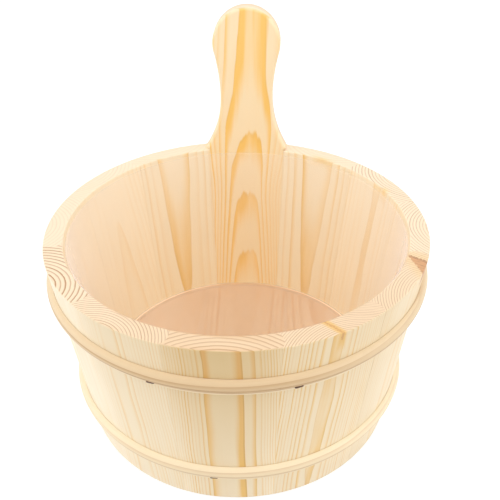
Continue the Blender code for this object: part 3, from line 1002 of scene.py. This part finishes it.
def makeStaple(strip, number, degrees):
    # a rounded square wire section carried along the staple's path
    x, z, headingX, headingZ = [values[:, None] for values in staplePath()]
    turn = np.linspace(0, 2 * math.pi, staples["sectionSteps"], endpoint=False)
    power = staples["squareness"]
    flat = (np.abs(np.cos(turn)) ** power + np.abs(np.sin(turn)) ** power) ** (-1 / power)
    inPlane = staples["wire"] / 2 * flat * np.cos(turn)
    upStave = staples["wireWidth"] / 2 * flat * np.sin(turn)
    across = x - headingZ * inPlane
    out = z + headingX * inPlane
    tilt = staples["tilt"]
    alongHoop = across * math.cos(tilt) - upStave * math.sin(tilt)
    upHoop = across * math.sin(tilt) + upStave * math.cos(tilt)
    up = hoop["lipWidth"] / 2 - hoop["width"] / 2 + upHoop
    grid = conePoints(frontAngle + math.radians(degrees), hoop[strip], up, out, alongHoop)
    node = f"{strip}_staple_{number}"
    addPiece(f"wire_{node}", grid, stapleSteel, "bucket", "staple_steel", node)


for strip in ("upper_hoop", "lower_hoop"):
    for number, degrees in enumerate(staples[strip], 1):
        makeStaple(strip, number, degrees)
print("staples made")


# Plastic liner

liner = {
    "wall": 0.0012,
    "slack": 0.0004,
    "drop": 0.0032,
    "fillet": 0.002,
    "foot": 0.0133,
    "middle": 0.002,
    "wallHaze": 0.13,
    "slantHaze": 0.22,
    "outsideHaze": 0.16,
    "floorHaze": 0.64,
    "gleamHaze": 0.92,
    "cloudScale": (22.0, 14.0),
    "cloudSwing": 0.05,
    "roughness": (0.3, 0.42),
    "wallColours": (ink(255, 236, 226), ink(255, 242, 234)),
    "floorColours": (ink(219, 181, 154), ink(226, 189, 164)),
    # painted highlight on the floor's bend, the gleam: its colour here, and its glow below
    "gleamColour": ink(255, 230, 206),
    "outsideColour": ink(226, 184, 160),
    # painted glow: the film whiter at a slant
    "paintedSlantGlow": (0.12, 0.18, 0.3, 1.0),
    "gleamGlow": (0.28, 0.22, 0.18, 1.0),
    "floorTop": 1.15,
    "floorFade": 0.15,
    # where the painted highlight lies, how wide it is, and how it fades towards the front and back
    "gleamTop": 1.1,
    "gleamFade": 0.4,
    "gleamPower": 0.7,
    # painted light: how much paler the floor is at its left and right, and over what reach
    "paintedSideLight": 0.3,
    "paintedLightReach": 0.09,
    "filletSteps": 14,
    "lineSteps": 8,
    "wallSteps": 12,
    "floorSteps": 8,
    "lipSteps": 8,
    "steps": 216,
}


def linerMaterial():
    material, tree, shader = newMaterial("linerFilm")
    place = addNode(tree, "TexCoord").outputs["Object"]
    cloud = noise(stretched(place, *liner["cloudScale"]))
    floorWithPaintedLight = readAttribute(tree, "floor")
    paintedGleam = readAttribute(tree, "paintedGleam")
    wallColour = mixColours(cloud, *liner["wallColours"])
    # the floor's share is less at its left and right, painted light
    colour = mixColours(floorWithPaintedLight, wallColour, mixColours(cloud, *liner["floorColours"]))
    colour = mixColours(paintedGleam, colour, liner["gleamColour"])
    # seen from outside, when it is lifted out, the wall has a faint tint
    away = addNode(tree, "NewGeometry").outputs["Backfacing"]
    tint = times(readAttribute(tree, "outside"), rest(away))
    colour = mixColours(tint, colour, liner["outsideColour"])
    feed(shader, {"Base Color": colour, "Roughness": spread(cloud, *liner["roughness"])})
    # a film looks cloudier at a slant, because more of it is in the way, and whiter there by a painted glow
    facing = addNode(tree, "LayerWeight", {"Blend": 0.5}).outputs["Facing"]
    facing = times(facing, facing)
    dark = (0.0, 0.0, 0.0, 1.0)
    glow = mixColours(facing, dark, liner["paintedSlantGlow"])
    glow = mixColours(chain("MAXIMUM", floorWithPaintedLight, tint), glow, dark)
    # the gleam is a painted highlight, and glows
    glow = mixColours(paintedGleam, glow, liner["gleamGlow"])
    feed(shader, {"Emission Color": glow, "Emission Strength": 1.0})
    slantHaze = times(facing, liner["slantHaze"])
    outsideHaze = times(tint, liner["outsideHaze"])
    clouded = swing(cloud, liner["cloudSwing"])
    alpha = plus(readAttribute(tree, "haze"), slantHaze, clouded, outsideHaze)
    feed(shader, {"Alpha": alpha})
    return material


def filmRadius(z):
    # outside of the liner's wall: the staves' inside, less the slack
    return outerRadius(z) - bucket["wall"] - liner["slack"]


def linerProfile():
    # inside of the cup from the middle of its floor up to the lip, then down its outside: radius and height
    floorZ = liner["foot"] + liner["wall"]
    top = bucket["height"] - liner["drop"]
    wall = liner["wall"] / leanCos
    lipRound = wall / 2
    fillet = liner["fillet"]
    touch = floorZ + fillet * (1 - leanSin)
    centre = filmRadius(touch) - wall - fillet * leanCos
    turn = np.linspace(-math.pi / 2, -lean, liner["filletSteps"] + 1)
    floorR = np.linspace(liner["middle"], centre, liner["floorSteps"], endpoint=False)
    low = np.linspace(touch, touch + fillet, liner["lineSteps"], endpoint=False)[1:]
    wallZ = np.concatenate([low, np.linspace(touch + fillet, top - lipRound, liner["wallSteps"] + 1)])
    lipTurn = np.linspace(math.pi, 0, liner["lipSteps"] + 1)[1:-1]
    lipR = filmRadius(top - lipRound) - lipRound + lipRound * np.cos(lipTurn)
    lipZ = top - lipRound + lipRound * np.sin(lipTurn)
    outFillet = fillet + liner["wall"]
    outR = centre + outFillet * np.cos(turn[::-1])
    outZ = floorZ + fillet + outFillet * np.sin(turn[::-1])
    downZ = np.linspace(top - lipRound, outZ[0], liner["wallSteps"] + 2)[:-1]
    radius = [floorR, centre + fillet * np.cos(turn), filmRadius(wallZ) - wall, lipR, filmRadius(downZ), outR,
              floorR[::-1]]
    height = [floorR * 0 + floorZ, floorZ + fillet + fillet * np.sin(turn), wallZ, lipZ, downZ, outZ,
              floorR * 0 + liner["foot"]]
    inside = np.arange(sum(map(len, height))) < sum(map(len, height[:4]))
    return np.concatenate(radius), np.concatenate(height), inside


def makeLiner():
    # the profile turned once round the bucket's axis
    radius, z, inside = linerProfile()
    angle = np.linspace(0, 2 * math.pi, liner["steps"], endpoint=False)
    grid = polarPoints(angle, radius[:, None], 0.0, z[:, None])
    piece = addPiece("moulded_liner", grid, linerMaterial(), "liner", "liner_plastic", "plastic_liner")
    piece.visible_shadow = False  # a clear film scatters light without holding it back
    piece.visible_diffuse = False
    # the floor is cloudy, and paler at its left and right, which is painted light; there its bend gets the
    # gleam, a painted highlight that glows. Walls are clear, and the cloud belongs to the inside face alone
    inside = inside[:, None]
    above = ((z - liner["foot"] - liner["wall"]) / liner["fillet"])[:, None]
    onFloor = np.clip((liner["floorTop"] - above) / liner["floorFade"], 0, 1) * inside
    paintedGleam = np.exp(-((above - liner["gleamTop"]) / liner["gleamFade"]) ** 2)
    paintedGleam = paintedGleam * np.abs(np.cos(angle)) ** liner["gleamPower"] * inside
    floorWithPaintedLight = onFloor * (1 - liner["paintedSideLight"] * (grid[..., 0] / liner["paintedLightReach"]) ** 2)
    haze = liner["wallHaze"] + (liner["floorHaze"] - liner["wallHaze"]) * onFloor
    haze = haze + (liner["gleamHaze"] - haze) * paintedGleam
    addValues(piece, "haze", haze * inside)
    addValues(piece, "floor", floorWithPaintedLight)
    addValues(piece, "paintedGleam", paintedGleam)
    addValues(piece, "outside", np.broadcast_to(1.0 - inside, paintedGleam.shape))


makeLiner()
print("liner made")


# Floor, light and camera

studio = {
    "floorSize": 6.0,
    "floorDrop": 0.0003,
    "floorColour": (0.85, 0.85, 0.85, 1.0),
    "shadowedColour": (0.4, 0.4, 0.4, 1.0),
    "floorGlow": 0.72,
    "white": (1.0, 1.0, 1.0, 1.0),
    "world": 0.52,
    "lamps": {
        "leftSoftbox": {"place": (-1.25, -0.35, 0.55), "size": 1.4, "power": 7.8},
        "rightSoftbox": {"place": (1.25, -0.35, 0.55), "size": 1.4, "power": 7.8},
        "topSoftbox": {"place": (0.0, -0.45, 1.35), "size": 1.0, "power": 6.8},
        "backSoftbox": {"place": (0.0, 1.2, 0.9), "size": 1.4, "power": 4.5},
    },
    "lampAim": (0.0, 0.0, 0.09),
}
view = {
    "place": (0.0307, -0.3827, 0.3687),
    "turn": math.radians(3.4),
    "tip": math.radians(55.99),
    "roll": math.radians(-0.527),
    "lens": 50.667,
    "sensor": 36.0,
}


def seenRay(tree):
    # one for rays that show the background: straight from the camera, or by way of gloss or glass
    path = addNode(tree, "LightPath").outputs
    kinds = ("Is Camera Ray", "Is Glossy Ray", "Is Transmission Ray")
    return chain("MAXIMUM", *[path[kind] for kind in kinds])


def makeFloor():
    half = studio["floorSize"] / 2
    corners = ((-half, -half), (half, -half), (half, half), (-half, half))
    mesh = bpy.data.meshes.new("studioFloor")
    mesh.from_pydata([(x, y, -studio["floorDrop"]) for x, y in corners], [], [[0, 1, 2, 3]])
    floor = bpy.data.objects.new("studioFloor", mesh)
    scene.collection.objects.link(floor)
    material, tree, shader = newMaterial("paleFloor")
    tree.nodes.remove(shader)
    plain = addNode(tree, "BsdfDiffuse", {"Color": studio["floorColour"]}).outputs[0]
    shadowed = addNode(tree, "BsdfDiffuse", {"Color": studio["shadowedColour"]}).outputs[0]
    glow = addNode(tree, "Emission", {"Color": studio["white"], "Strength": studio["floorGlow"]}).outputs[0]
    seen = feedNode("AddShader", {0: shadowed, 1: glow})
    both = feedNode("MixShader", {0: seenRay(tree), 1: plain, 2: seen})
    feed(tree.nodes["Material Output"], {"Surface": both})
    mesh.materials.append(material)


def makeWorld():
    world = bpy.data.worlds.new("studioWorld")
    scene.world = world
    world.use_nodes = True
    tree = world.node_tree
    strength = spread(seenRay(tree), studio["world"], 1.0)
    feed(tree.nodes["Background"], {"Color": studio["white"], "Strength": strength})


def makeLamps():
    for name, lamp in studio["lamps"].items():
        data = bpy.data.lights.new(name, "AREA")
        data.size = lamp["size"]
        data.energy = lamp["power"]
        thing = bpy.data.objects.new(name, data)
        thing.location = lamp["place"]
        heading = mathutils.Vector(studio["lampAim"]) - thing.location
        thing.rotation_euler = heading.to_track_quat("-Z", "Y").to_euler()
        scene.collection.objects.link(thing)


def makeCamera():
    data = bpy.data.cameras.new("photoView")
    data.sensor_width = view["sensor"]
    data.lens = view["lens"]
    camera = bpy.data.objects.new("photoView", data)
    camera.location = view["place"]
    camera.rotation_mode = "QUATERNION"
    # turn about Z, then tip about X, then roll about the view's own Z
    turn = mathutils.Quaternion((0, 0, 1), view["turn"])
    tip = mathutils.Quaternion((1, 0, 0), view["tip"])
    roll = mathutils.Quaternion((0, 0, 1), view["roll"])
    camera.rotation_quaternion = turn @ tip @ roll
    scene.collection.objects.link(camera)
    scene.camera = camera


makeFloor()
makeWorld()
makeLamps()
makeCamera()
scene.view_settings.view_transform = "Standard"
print("floor, light and camera made")
